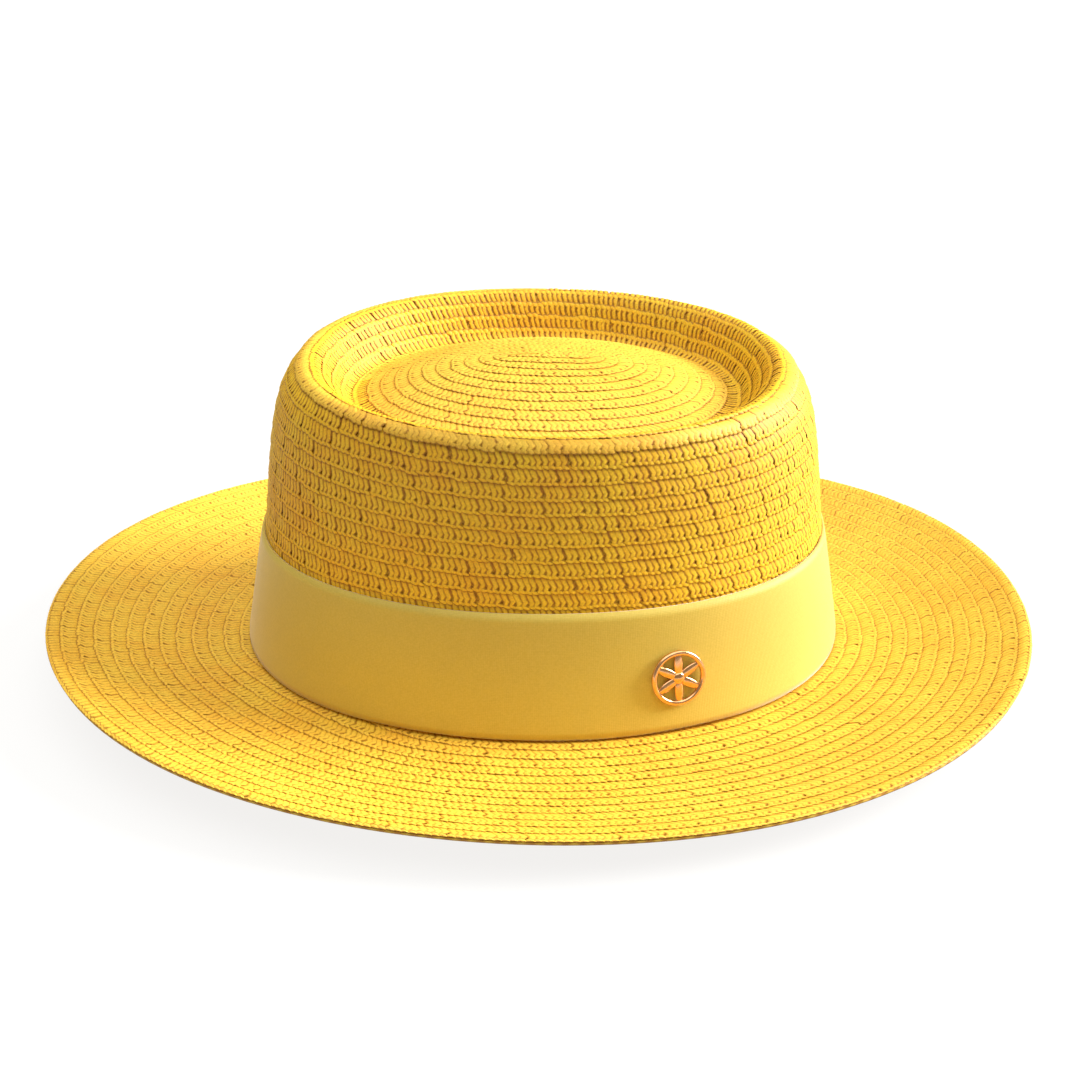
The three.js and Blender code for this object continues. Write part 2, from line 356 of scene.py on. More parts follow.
def resize_ring(turned, wide, high, centre):
    """Resize the selected ring. An upright ring is wide along x, and a sideways ring along y."""
    change = (wide, 1, high) if turned == UPRIGHT else (1, wide, high)
    bpy.ops.transform.resize(value=change, center_override=centre)


def extrude_strand(name, sections, turned):
    """Extrude a ring through sections of (x, y, z, half width, half height)."""
    deselect()
    start = sections[0][:3]
    bpy.ops.mesh.primitive_circle_add(
        vertices=RING_SIDES, radius=1, fill_type="NGON", location=start, rotation=turned)
    strand = bpy.context.object
    strand.name = name
    bpy.ops.object.transform_apply(location=True, rotation=True, scale=True)
    bpy.ops.object.mode_set(mode="EDIT")
    bpy.ops.mesh.select_all(action="SELECT")
    resize_ring(turned, sections[0][3], sections[0][4], start)
    for before, after in zip(sections[:-1], sections[1:]):
        step = tuple(after[axis] - before[axis] for axis in range(3))
        bpy.ops.mesh.extrude_region_move(TRANSFORM_OT_translate={"value": step})
        resize_ring(turned, after[3] / before[3], after[4] / before[4], after[:3])
    bpy.ops.mesh.select_all(action="SELECT")
    bpy.ops.mesh.normals_make_consistent(inside=False)
    bpy.ops.object.mode_set(mode="OBJECT")
    return strand


# %% Stitch
STITCH_LENGTH = 3.85 * MM
FLAT_TOP = 0.001
OVER = [
    (-0.24, -0.22, -0.58, 0.31, 0.11), (0.04, 0.20, -0.28, 0.33, 0.13),
    (0.38, 0.60, -0.05, 0.29, 0.14), (0.24, 0.92, 0.00, 0.18, 0.11)]
UNDER = [
    (0.26, -0.22, -0.60, 0.31, 0.11), (0.54, 0.20, -0.30, 0.33, 0.13),
    (0.86, 0.58, -0.07, 0.28, 0.14), (0.62, 0.92, -0.01, 0.18, 0.11)]
LOOP_ONE = [
    (-0.08, 0.88, -0.14, 0.08, 0.10), (0.12, 0.90, 0.04, 0.15, 0.20),
    (0.34, 0.96, 0.05, 0.14, 0.20), (0.52, 1.00, -0.14, 0.08, 0.10)]
LOOP_TWO = [
    (0.42, 0.88, -0.14, 0.08, 0.10), (0.62, 0.90, 0.02, 0.15, 0.19),
    (0.84, 0.96, 0.03, 0.14, 0.19), (1.02, 1.00, -0.14, 0.08, 0.10)]


def stitch_shape(name, parts, loose=1.0, painted_gap_shadow=1.0):
    """Join strands of (sections, turned) into one stitch.

    loose is how unevenly the stitch is laid later, and the last argument is how dark the painted shadow
    at the edges of its strands is. The side values run from 0 on the ridge of a strand to that value at its
    edges.
    """
    points, faces, owner, side = [], [], [], []
    for number, (sections, turned) in enumerate(parts):
        strand = extrude_strand(f"{name}_{number}", sections, turned)
        start = len(points)
        points += [tuple(vertex.co) for vertex in strand.data.vertices]
        faces += [[start + index for index in face.vertices] for face in strand.data.polygons]
        owner += [number] * len(strand.data.vertices)
        heights = np.array([vertex.co.z for vertex in strand.data.vertices]).reshape(-1, RING_SIDES)
        side += list((heights < heights.max(axis=1, keepdims=True) - FLAT_TOP).ravel() * painted_gap_shadow)
        bpy.data.objects.remove(strand)
    print(name, "has", len(faces), "faces")
    return np.array(points), np.array(faces), np.array(owner), np.array(side), loose


# %% [markdown]
# The same sections serve for every part of the hat, with wider or narrower strands.
# The wall has the plain stitch.
# Inside the rim the braid is stretched open, with narrow strands and a broad edge.
# On the tip and on the brim it was pressed flat, so its strands are wide and overlap into a smoother band.
# On the rim it is folded over a cord, so it stands up as a round bead.
# The underside of the brim is hardly seen, so one broad strand and one long loop are enough there.

# %% Stitches
TAPER_FROM = 0.4
LONG_LOOP = [
    (-0.05, 0.88, -0.10, 0.10, 0.12), (0.30, 0.93, 0.06, 0.15, 0.20),
    (0.70, 0.95, 0.06, 0.15, 0.20), (1.05, 0.98, -0.10, 0.10, 0.12)]


def stretched(sections, wide=1.0, high=1.0, lift=0.0, taper=0.0, lean=1.0):
    """Sections whose width and height are multiplied by wide and high.

    lift raises them towards the row's free edge, taper widens them that way,
    and lean is the share of their slant that is kept.
    """
    foot = sections[0][0]
    return [
        (foot + lean * (x - foot), y, z + lift * y, w * (wide + taper * (y - TAPER_FROM)), h * high)
        for x, y, z, w, h in sections]


def stitch_of(name, strands, loops, loose, painted_gap_shadow=1.0):
    parts = [(stretched(sections, **strands), UPRIGHT) for sections in (OVER, UNDER)]
    parts += [(stretched(sections, **loops), SIDEWAYS) for sections in (LOOP_ONE, LOOP_TWO)]
    return stitch_shape(name, parts, loose, painted_gap_shadow)


close_stitch = stitch_of(
    "close_stitch", {"wide": 0.95, "high": 1.7, "lean": 0.75}, {"wide": 1.1, "high": 1.2, "lift": 0.02},
    loose=1.2)
open_stitch = stitch_of(
    "open_stitch", {"wide": 0.76, "high": 1.8, "taper": 0.4, "lean": 0.45}, {"wide": 1.5, "high": 1.3},
    loose=1.2)
flat_stitch = stitch_of(
    "flat_stitch", {"wide": 1.2, "high": 1.6, "lift": -0.03}, {"wide": 1.2, "high": 1.0, "lift": -0.03},
    loose=0.8)
# The rim's strands get a lighter painted shadow at their edges.
rim_stitch = stitch_of(
    "rim_stitch", {"wide": 1.3, "high": 1.8, "lift": 0.50}, {"wide": 1.3, "high": 1.3, "lift": 0.36},
    loose=1.0, painted_gap_shadow=0.90)
under_stitch = stitch_shape(
    "under_stitch", [(stretched(OVER, wide=2.4), UPRIGHT), (LONG_LOOP, SIDEWAYS)])

# %% [markdown]
# ## Laying the braid
# Thousands of stitches would be slow to copy one object at a time.
# Each piece of braid is therefore one mesh: the stitch's points are repeated as arrays and moved onto the
# surface, between the samples that were read from it.
# Every stitch gets a slightly different place, width and height, and every strand its own tint,
# as hand-sewn straw has.
# Under the brim the stitches hang from the far side of the wall, which gets thinner at the outermost row.

# %% Places on a surface
INSIDE_START = 0.02
INSIDE_END = 1.001


def on_surface(surface, angle, row):
    """Places and normals at an angle and a row, each blended from the four samples around it."""
    places, normals = surface
    around = np.mod(angle / TURN * DIRECTIONS, DIRECTIONS)
    across = np.clip(row * ROW_STEPS, INSIDE_START, places.shape[1] - INSIDE_END)
    i = around.astype(int) % DIRECTIONS
    j = across.astype(int)
    u, v = (around - around.astype(int))[..., None], (across - j)[..., None]
    ahead = (i + 1) % DIRECTIONS

    def blend(field):
        near = field[i, j] * (1 - v) + field[i, j + 1] * v
        far = field[ahead, j] * (1 - v) + field[ahead, j + 1] * v
        return near * (1 - u) + far * u

    return blend(places), blend(normals)


middle, _ = on_surface(crown_surface, np.zeros(1), np.zeros(1))
print("the tip's middle is", round(middle[0, 2] / MM, 1), "mm up")

# %% Meshes from arrays
def make_active(piece):
    """Select one piece alone, so that an operator acts on nothing else."""
    deselect()
    piece.select_set(True)
    bpy.context.view_layer.objects.active = piece


def mesh_piece(name, points, faces, **attributes):
    """A smooth mesh from arrays of points and faces, with a value at each point for each attribute."""
    mesh = bpy.data.meshes.new(name)
    mesh.vertices.add(len(points))
    mesh.vertices.foreach_set("co", points.astype(np.float32).ravel())
    mesh.loops.add(faces.size)
    mesh.loops.foreach_set("vertex_index", faces.astype(np.int32).ravel())
    mesh.polygons.add(len(faces))
    mesh.polygons.foreach_set("loop_start", np.arange(0, faces.size, faces.shape[1], dtype=np.int32))
    mesh.update(calc_edges=True)
    mesh.shade_smooth()
    for label, values in attributes.items():
        layer = mesh.attributes.new(label, "FLOAT", "POINT")
        layer.data.foreach_set("value", values.astype(np.float32).ravel())
    piece = bpy.data.objects.new(name, mesh)
    bpy.context.scene.collection.objects.link(piece)
    return piece


# %% Laying
SEED = 20
# How far a stitch strays: along the braid in stitches, across it in rows, and upwards in millimetres.
STRAY = (0.04, 0.03, 0.035)
# How much shorter or longer than its place a stitch may be, as a share.
SHORTEST = -0.08
LONGEST = 0.06
# These three are in millimetres.
LOW_OFFSET = -0.05
BRIM_DEPTH = 2.0
EDGE_THINNING = 0.6
SHARP_ANGLE = math.radians(40)
rng = np.random.default_rng(SEED)


def uneven(shape, count, loose, relief):
    """Copies of a stitch, each a little out of place and out of size: along, across and upwards."""
    shift = rng.normal(0, loose, (count, 3)) * STRAY
    spread = 1 + rng.uniform(SHORTEST, LONGEST, (count, 1)) * loose
    along = (shape[:, 0] - 0.5) * spread + 0.5 + shift[:, :1]
    across = shape[:, 1] + shift[:, 1:2]
    high = relief * (shape[:, 2] + shift[:, 2:3]) + LOW_OFFSET
    return along, across, high


def between(ends, along):
    """The value at a share of the way from each stitch's start to its end."""
    return ends[:, :1] + along * (ends[:, 1:] - ends[:, :1])


def lay_braid(name, surface, stitch, turns, rows, relief=1.0, under=False):
    """turns and rows are arrays of (start, end) for each stitch, the turns in whole turns."""
    shape, faces, owner, side, loose = stitch
    count = len(turns)
    along, across, high = uneven(shape, count, loose, relief)
    row = between(rows, along) + (1 - across if under else across)
    place, normal = on_surface(surface, between(turns, along) * TURN, row)
    if under:
        thinner = EDGE_THINNING * np.clip(row - BRIM_ROWS + 1, 0, 1)
        high = thinner - BRIM_DEPTH - high
    points = place + normal * (high * MM)[..., None]
    # No straw goes through the table.
    points[..., 2] = np.maximum(points[..., 2], 0)
    tint = rng.random((count, owner.max() + 1))[:, owner]
    # rise is how high a point lies in its stitch. The straw material uses it to paint shade into the low
    # points.
    low, top = shape[:, 2].min(), shape[:, 2].max()
    rise = np.broadcast_to((shape[:, 2] - low) / (top - low), tint.shape)
    side = np.broadcast_to(side, tint.shape)
    # On the surface a stitch is mirrored, so its faces are read backwards to point outwards again.
    all_faces = faces[None, :, ::-1] + (np.arange(count) * len(shape))[:, None, None]
    all_faces = all_faces.reshape(-1, faces.shape[1])
    piece = mesh_piece(name, points.reshape(-1, 3), all_faces, tint=tint, rise=rise, side=side)
    make_active(piece)
    bpy.ops.object.shade_smooth_by_angle(angle=SHARP_ANGLE)
    print(name, count, "stitches,", 2 * len(piece.data.polygons), "triangles")
    return piece


# %% [markdown]
# ## The spiral of the crown
# The crown is one continuous spiral, so the row number grows by one with each turn.
# Stitch ends are spaced evenly along the path, whatever the width of the oval at that place.
# The spiral starts one turn before row 0, where it is squeezed to nothing, as the folded start of a braid is.
# On the rim the bead is one turn long, and its relief dies away at both ends, where they pass each other.
# The last row is tucked under the ribbon's upper edge.

# %% Crown braid
SPIRAL_PHASE = 0.28
FINE_STEPS = 60000
MEASURED_AT = 0.6
FADED_RELIEF = 0.25
TIP_ROW = -1
RECESS_ROW = 10.2
RIM_START_ROW = 14.97
RIM_END_ROW = 15.97
RIM_FADE = 12
SIDE_SPLIT_ROW = 21
TUCKED_ROWS = 0.6


def spiral_marks(surface, first, last):
    """The turns at which stitches of even length start and end."""
    turn = np.linspace(first, last, FINE_STEPS)
    place, _ = on_surface(surface, (turn + SPIRAL_PHASE) * TURN, turn + MEASURED_AT)
    lengths = lengths_along(place)
    count = round(lengths[-1] / STITCH_LENGTH)
    return np.interp(np.linspace(0, lengths[-1], count + 1), lengths, turn)


def spiral_braid(name, stitch, first, last, fade=0):
    """fade is the number of stitches over which the relief grows and dies away at the two ends."""
    marks = spiral_marks(crown_surface, first, last)
    rows = np.stack([marks[:-1], marks[1:]], axis=1)
    relief = 1.0
    if fade:
        step = np.arange(len(rows))
        relief = np.clip(np.minimum(step, step[::-1]) / fade, FADED_RELIEF, 1)[:, None]
    return lay_braid(name, crown_surface, stitch, rows + SPIRAL_PHASE, rows, relief)


braids = [
    spiral_braid("crown_tip_braid", flat_stitch, TIP_ROW, RECESS_ROW),
    spiral_braid("crown_recess_braid", open_stitch, RECESS_ROW, RIM_START_ROW),
    spiral_braid("crown_rim_braid", rim_stitch, RIM_START_ROW, RIM_END_ROW, RIM_FADE),
    spiral_braid("crown_side_braid_upper", close_stitch, RIM_END_ROW, SIDE_SPLIT_ROW),
    spiral_braid("crown_side_braid_lower", close_stitch, SIDE_SPLIT_ROW, RIBBON_ROW + TUCKED_ROWS),
]

# %% [markdown]
# ## The rings of the brim
# On the real hat the spiral goes on across the brim. The brim's edge is even all round, though,
# so its rows are easier to fit as closed rings, and by eye they can't be told from a spiral.
# Each ring starts at a place of its own, so that no stitches line up from row to row.
# The brim was pressed harder towards its edge, so its relief gets lower there.

# %% Brim braid
def ring_braid(name, stitch, rows, relief, under=False):
    turns, starts = [], []
    for row in rows:
        place, _ = on_surface(brim_surface, angles, np.full(DIRECTIONS, row + MEASURED_AT))
        around = np.linalg.norm(place - np.roll(place, 1, axis=0), axis=1).sum()
        count = round(around / STITCH_LENGTH)
        marks = (np.arange(count + 1) + rng.random()) / count
        turns.append(np.stack([marks[:-1], marks[1:]], axis=1))
        starts.append(np.full((count, 2), float(row)))
    return lay_braid(
        name, brim_surface, stitch, np.concatenate(turns), np.concatenate(starts), relief, under)


braids += [
    ring_braid("brim_braid_inner", flat_stitch, range(0, 5), relief=1.0),
    ring_braid("brim_braid_middle", flat_stitch, range(5, 9), relief=0.85),
    ring_braid("brim_braid_outer", flat_stitch, range(9, BRIM_ROWS), relief=0.70),
    ring_braid("brim_braid_under", under_stitch, range(0, BRIM_ROWS), relief=0.60, under=True),
]

# %% [markdown]
# ## The straw behind the stitches
# A braid has several layers, so what shows between two strands is more straw, deep in shadow.
# A thin closed wall inside the stitches stands for those layers and stops light from passing through.
# Its inner face steps from row to row, because that face shows where the head goes in.

# %% Base wall helpers
WALL_SKIP = 2
WALL_MERGE = 0.02 * MM
INNER_STEP = 0.35 * MM


def merge_and_face_out(distance):
    """Merge the doubled points of the active mesh, and turn its faces outwards."""
    bpy.ops.object.mode_set(mode="EDIT")
    bpy.ops.mesh.select_all(action="SELECT")
    bpy.ops.mesh.remove_doubles(threshold=distance)
    bpy.ops.mesh.normals_make_consistent(inside=False)
    bpy.ops.object.mode_set(mode="OBJECT")


def wall_faces(count, width, closed_middle):
    """Faces of an outer and an inner skin, and of the rims that join the two."""
    i, j = np.meshgrid(np.arange(count), np.arange(width - 1), indexing="ij")
    i, j = i.ravel(), j.ravel()
    ahead = (i + 1) % count
    outer = np.stack([i * width + j, i * width + j + 1, ahead * width + j + 1, ahead * width + j], axis=1)
    skin = count * width
    inner = outer[:, ::-1] + skin
    near = np.arange(count) * width
    far = (np.arange(count) + 1) % count * width
    end = width - 1
    rims = [np.stack([near + end, near + end + skin, far + end + skin, far + end], axis=1)]
    if not closed_middle:
        rims.append(np.stack([near, far, far + skin, near + skin], axis=1))
    return np.concatenate([outer, inner] + rims)


def wall_piece(name, surface, last, depth_out, depth_in, closed_middle=False):
    """A closed wall from row 0 to the last row, between two depths below the surface."""
    places, normals = surface
    samples = np.arange(0, int(last * ROW_STEPS) + 1, WALL_SKIP)
    rows = samples / ROW_STEPS
    places, normals = places[:, samples], normals[:, samples]
    saw = np.mod(rows, 1)[None, :, None] * INNER_STEP
    outer = places + normals * depth_out
    inner = places + normals * (depth_in - INNER_STEP / 2 + saw)
    count, width = outer.shape[:2]
    points = np.concatenate([outer.reshape(-1, 3), inner.reshape(-1, 3)])
    row = np.tile(np.tile(rows, count), 2)
    turn = np.tile(np.repeat(np.arange(count) / count, width), 2)
    piece = mesh_piece(name, points, wall_faces(count, width, closed_middle), row=row, turn=turn)
    make_active(piece)
    merge_and_face_out(WALL_MERGE)
    return piece


# %% Base walls
WALL_OUT = -0.68 * MM
WALL_IN = -2.0 * MM
BRIM_OUT = -0.65 * MM
BRIM_IN = -1.35 * MM

crown_base = wall_piece("crown_base", crown_surface, SEAT_ROW, WALL_OUT, WALL_IN, closed_middle=True)
brim_base = wall_piece("brim_base", brim_surface, BRIM_ROWS, BRIM_OUT, BRIM_IN)
print("base walls:", len(crown_base.data.polygons), len(brim_base.data.polygons), "faces")

# %% [markdown]
# ## The brim's collar
# The innermost braid of the brim is turned up inside the crown, where the two are sewn together.
# It can't be seen from outside, but it closes the joint, so no light comes through under the ribbon.
# It is one row of wall again, on the crown's own section moved inwards.

# %% Collar
COLLAR_TOP = 10 * MM
COLLAR_FOOT = 0.4 * MM
COLLAR_OUT = -2.3 * MM
COLLAR_IN = -4.3 * MM


def collar_surface():
    heights = np.linspace(COLLAR_TOP, COLLAR_FOOT, ROW_STEPS + 1)
    places, normals = crown_surface
    low_part = int(RIBBON_ROW * ROW_STEPS)
    grid = np.zeros((DIRECTIONS, ROW_STEPS + 1, 3))
    for index in range(DIRECTIONS):
        section = places[index, low_part:]
        for axis in range(2):
            grid[index, :, axis] = np.interp(-heights, -section[:, 2], section[:, axis])
        grid[index, :, 2] = heights
    outward = normals[:, -ROW_STEPS] * (1, 1, 0)
    outward /= np.linalg.norm(outward, axis=1, keepdims=True)
    return grid, np.repeat(outward[:, None], ROW_STEPS + 1, axis=1)


brim_collar = wall_piece("brim_collar", collar_surface(), 1, COLLAR_OUT, COLLAR_IN)
print("collar:", len(brim_collar.data.polygons), "faces")

# %% [markdown]
# ## The ribbon
# The band is a strip of firm ribbon pulled tight round the foot of the crown.
# A flat grid is wrapped round the crown between the lowest and the highest point of the ribbon's CAD solid,
# closed at its seam behind, and then given thickness.
# Broad waves of less than a tenth of a millimetre keep it from looking machined.
# Cloth simulation would add nothing here, because a stretched ribbon has no folds.

# %% Ribbon's place
RIBBON_CLEAR = 1.25 * MM
EDGE_ROUNDING = 0.25 * MM
EDGE_SHARPNESS = 14
BROAD_WAVE = 0.07 * MM
NARROW_WAVE = 0.06 * MM
RIBBON_SAMPLES = 120
ribbon_low, ribbon_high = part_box("ribbon_band")


def ribbon_place(angle, share):
    """A place on the ribbon's outer face, where share is 0 at its lower edge and 1 at its upper edge."""
    wanted = ribbon_low.z + (ribbon_high.z - ribbon_low.z) * share
    rows = np.linspace(RIBBON_ROW - 1, SEAT_ROW, RIBBON_SAMPLES)
    places, normals = on_surface(crown_surface, np.full(rows.shape, angle), rows)
    pull = EDGE_ROUNDING * abs(2 * share - 1) ** EDGE_SHARPNESS
    slack = BROAD_WAVE * math.sin(3 * angle + 5 * share) + NARROW_WAVE * math.sin(7 * angle - 4 * share)
    places = places + normals * (RIBBON_CLEAR - pull + slack)
    return Vector([float(np.interp(-wanted, -places[:, 2], places[:, axis])) for axis in range(3)])


print("ribbon stands from", round(ribbon_low.z / MM, 1), "to", round(ribbon_high.z / MM, 1), "mm")

# %% Ribbon
RIBBON_DIRECTIONS = 240
RIBBON_LINES = 14
RIBBON_THICKNESS = 0.9 * MM
RIBBON_FLAT = (0.040, 0.585)
RIBBON_MERGE = 0.01 * MM
SEAM_BEHIND = 0.75

deselect()
bpy.ops.mesh.primitive_grid_add(x_subdivisions=RIBBON_DIRECTIONS, y_subdivisions=RIBBON_LINES, size=1)
ribbon = bpy.context.object
ribbon.name = "ribbon_band_cloth"
for vertex in ribbon.data.vertices:
    vertex.co = ribbon_place((vertex.co.x + SEAM_BEHIND) % 1 * TURN, vertex.co.y + 0.5)
merge_and_face_out(RIBBON_MERGE)
thickness = ribbon.modifiers.new("cloth_thickness", "SOLIDIFY")
thickness.thickness = RIBBON_THICKNESS
thickness.offset = -1
bpy.ops.object.modifier_apply(modifier=thickness.name)
bpy.ops.object.shade_smooth()
print("ribbon:", len(ribbon.data.polygons), "faces")

# %% [markdown]
# ## The badge
# The badge is a thin metal ring round an open flower. It is pinned through the ribbon.
# It is modelled flat at the middle of the scene, where every part is easy to place, and moved onto the ribbon
# at the end.

# %% Badge
BADGE_RADIUS = 8.9 * MM
RING_WIDTH = 1.7 * MM
PETALS = 6
PETAL_WIDTH = 2.9 * MM
PETAL_HEIGHT = 0.62 * MM
HUB_RADIUS = 2 * MM
HUB_HEIGHT = 1.05 * MM
ring_middle = BADGE_RADIUS - RING_WIDTH / 2

deselect()
badge_parts = []
bpy.ops.mesh.primitive_torus_add(
    major_radius=ring_middle, minor_radius=RING_WIDTH / 2, major_segments=96, minor_segments=16)
badge_parts.append(bpy.context.object)
for count in range(PETALS):
    bpy.ops.mesh.primitive_uv_sphere_add(segments=32, ring_count=12, radius=1)
    petal = bpy.context.object
    petal.data.transform(Matrix.Diagonal((ring_middle / 2, PETAL_WIDTH / 2, PETAL_HEIGHT, 1)))
    petal.data.transform(Matrix.Translation((ring_middle / 2, 0, 0)))
    petal.data.transform(Matrix.Rotation(TURN * (count + 0.5) / PETALS, 4, "Z"))
    badge_parts.append(petal)
bpy.ops.mesh.primitive_uv_sphere_add(segments=32, ring_count=16, radius=1)
hub = bpy.context.object
hub.data.transform(Matrix.Diagonal((HUB_RADIUS, HUB_RADIUS, HUB_HEIGHT, 1)))
badge_parts.append(hub)
print("badge parts:", len(badge_parts))

# %% Badge pin
POST_RADIUS = 1.2 * MM
POST_LENGTH = 5.4 * MM
RIVET_RADIUS = 3 * MM
RIVET_THICKNESS = 0.8 * MM
RIVET_EDGE = 0.25 * MM
rivet_height = -POST_LENGTH + RIVET_THICKNESS / 2

bpy.ops.mesh.primitive_cylinder_add(
    vertices=24, radius=POST_RADIUS, depth=POST_LENGTH, location=(0, 0, -POST_LENGTH / 2))
badge_parts.append(bpy.context.object)
bpy.ops.mesh.primitive_cylinder_add(
    vertices=32, radius=RIVET_RADIUS, depth=RIVET_THICKNESS, location=(0, 0, rivet_height))
rivet = bpy.context.object
rivet_edge = rivet.modifiers.new("rivet_edge", "BEVEL")
rivet_edge.width = RIVET_EDGE
rivet_edge.segments = 3
bpy.ops.object.modifier_apply(modifier=rivet_edge.name)
badge_parts.append(rivet)
deselect()
for part in badge_parts:
    part.select_set(True)
bpy.context.view_layer.objects.active = badge_parts[0]
bpy.ops.object.join()
badge = bpy.context.object
badge.name = "badge_flower"
bpy.ops.object.transform_apply(location=True, rotation=True, scale=True)
bpy.ops.object.shade_smooth_by_angle(angle=SHARP_ANGLE)
print("badge:", len(badge.data.polygons), "faces")

# %% Badge's place
BADGE_ANGLE = math.radians(-64)
BADGE_SHARE = 0.4425
BADGE_THICKNESS = 1.8 * MM
BADGE_GAP = 0.3 * MM
# Four places round the badge give the ribbon's slope there: shares of its width, and a small angle.
LOWER_SHARE = 0.2
UPPER_SHARE = 0.7
SIDE_SHARE = 0.45
SIDE_ANGLE = 0.05

here = ribbon_place(BADGE_ANGLE, BADGE_SHARE)
below = ribbon_place(BADGE_ANGLE, LOWER_SHARE)
above = ribbon_place(BADGE_ANGLE, UPPER_SHARE)
left = ribbon_place(BADGE_ANGLE - SIDE_ANGLE, SIDE_SHARE)
right = ribbon_place(BADGE_ANGLE + SIDE_ANGLE, SIDE_SHARE)
badge_right = (right - left).normalized()
badge_out = badge_right.cross(above - below).normalized()
badge_up = badge_out.cross(badge_right)
turned = Matrix((badge_right, badge_up, badge_out)).transposed().to_4x4()
place = Matrix.Translation(here + badge_out * (BADGE_GAP + BADGE_THICKNESS / 2))
badge.data.transform(place @ turned)
cad_badge = (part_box("badge")[0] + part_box("badge")[1]) / 2
print("badge stands at", tuple(round(value / MM, 1) for value in here))
print("the CAD badge's middle is at", tuple(round(value / MM, 1) for value in cad_badge))

# %% [markdown]
# ## Straw
# Straw is bright yellow where light falls on it. Deep between the strands a painted shade makes it
# orange-brown.
# The rise attribute says how high a point lies in the weave, and the painted shade darkens its low points,
# while the tint attribute sets each strand apart.
# The side attribute is 0 on the ridge of a strand and up to 1 at its edges.
# It paints a thin dark line between strands, a painted shadow where shade falls between them,
# and noise breaks the line up, so that it doesn't look inked.
# Fine noise gives the fibres of the straw, and a soft gloss lets the strands catch the light.
# The straw of the tip, the rim and the brim was pressed flat, and these parts face up into the light.
# Their own tones are paler and whiter, a painted highlight for the strong light that washes them out.

# %% Material helpers
MIX_SHARE = 0
MIX_FIRST = 6
MIX_SECOND = 7
MIX_RESULT = 2


def new_material(name):
    material = bpy.data.materials.new(name)
    material.use_nodes = True
    nodes, links = material.node_tree.nodes, material.node_tree.links
    return material, nodes, links, nodes["Principled BSDF"]


def ramp(nodes, links, pattern, stops):
    """Colours that follow a pattern. Each stop is a value of the pattern and its colour."""
    node = nodes.new("ShaderNodeValToRGB")
    elements = node.color_ramp.elements
    while len(elements) < len(stops):
        elements.new(0.5)
    for element, (position, colour) in zip(elements, stops):
        element.position = position
        element.color = (*colour, 1)
    links.new(pattern, node.inputs["Fac"])
    return node.outputs["Color"]


def attribute(nodes, name):
    node = nodes.new("ShaderNodeAttribute")
    node.attribute_name = name
    return node.outputs["Fac"]


def noise(nodes, links, scale, detail):
    coordinates = nodes.new("ShaderNodeTexCoord")
    node = nodes.new("ShaderNodeTexNoise")
    node.inputs["Scale"].default_value = scale
    node.inputs["Detail"].default_value = detail
    links.new(coordinates.outputs["Object"], node.inputs["Vector"])
    return node.outputs["Fac"]


def mix_colour(nodes, links, kind, share, first, second):
    """The Mix node has several sockets of each name, so they are taken by number."""
    node = nodes.new("ShaderNodeMix")
    node.data_type = "RGBA"
    node.blend_type = kind
    node.inputs[MIX_SHARE].default_value = share
    links.new(first, node.inputs[MIX_FIRST])
    links.new(second, node.inputs[MIX_SECOND])
    return node.outputs[MIX_RESULT]


def shaded(nodes, links, colour, pattern, stops):
    """A colour multiplied by shades that follow a pattern."""
    return mix_colour(nodes, links, "MULTIPLY", 1.0, colour, ramp(nodes, links, pattern, stops))


def calculate(nodes, links, operation, *values):
    """A Math node, whose values are numbers or the outputs of other nodes."""
    node = nodes.new("ShaderNodeMath")
    node.operation = operation
    for socket, value in zip(node.inputs, values):
        if isinstance(value, bpy.types.NodeSocket):
            links.new(value, socket)
        else:
            socket.default_value = value
    return node.outputs["Value"]


def add_bump(nodes, links, shader, height, strength, distance):
    bump = nodes.new("ShaderNodeBump")
    bump.inputs["Strength"].default_value = strength
    bump.inputs["Distance"].default_value = distance
    links.new(height, bump.inputs["Height"])
    links.new(bump.outputs["Normal"], shader.inputs["Normal"])


# %% Straw
PAINTED_DEEP_SHADE = (0.52, 0.21, 0.004)
MIDDLE = (0.94, 0.50, 0.008)
BRIGHT = (0.99, 0.63, 0.012)
# Paler, whiter tones for the pressed tops, which face the light: a painted highlight.
PRESSED_HIGHLIGHT_MIDDLE = (0.89, 0.47, 0.02)
PRESSED_HIGHLIGHT_BRIGHT = (0.93, 0.60, 0.07)
PALE = (1.0, 0.70, 0.045)
OCHRE = (0.92, 0.51, 0.008)
TINT_SHARE = 0.30
UNSHADED = (1.0, 1.0, 1.0)
DYE_SHADE = (1.0, 0.90, 0.80)
FIBRE_SHADE = (0.76, 0.73, 0.68)
PAINTED_EDGE_SHADOW = (0.47, 0.33, 0.09)
DYE_SCALE = 45
FIBRE_SCALE = 1800
EDGE_SCALE = 650
EDGE_CONTRAST = 0.6
EDGE_BASE = 0.2
STRAW_ROUGHNESS = 0.58
STRAW_GLOSS = 0.45
FIBRE_BUMP = 0.1 * MM
PRESSED_HIGHLIGHT_PIECES = (
    "crown_tip_braid", "crown_rim_braid", "brim_braid_inner", "brim_braid_middle", "brim_braid_outer")


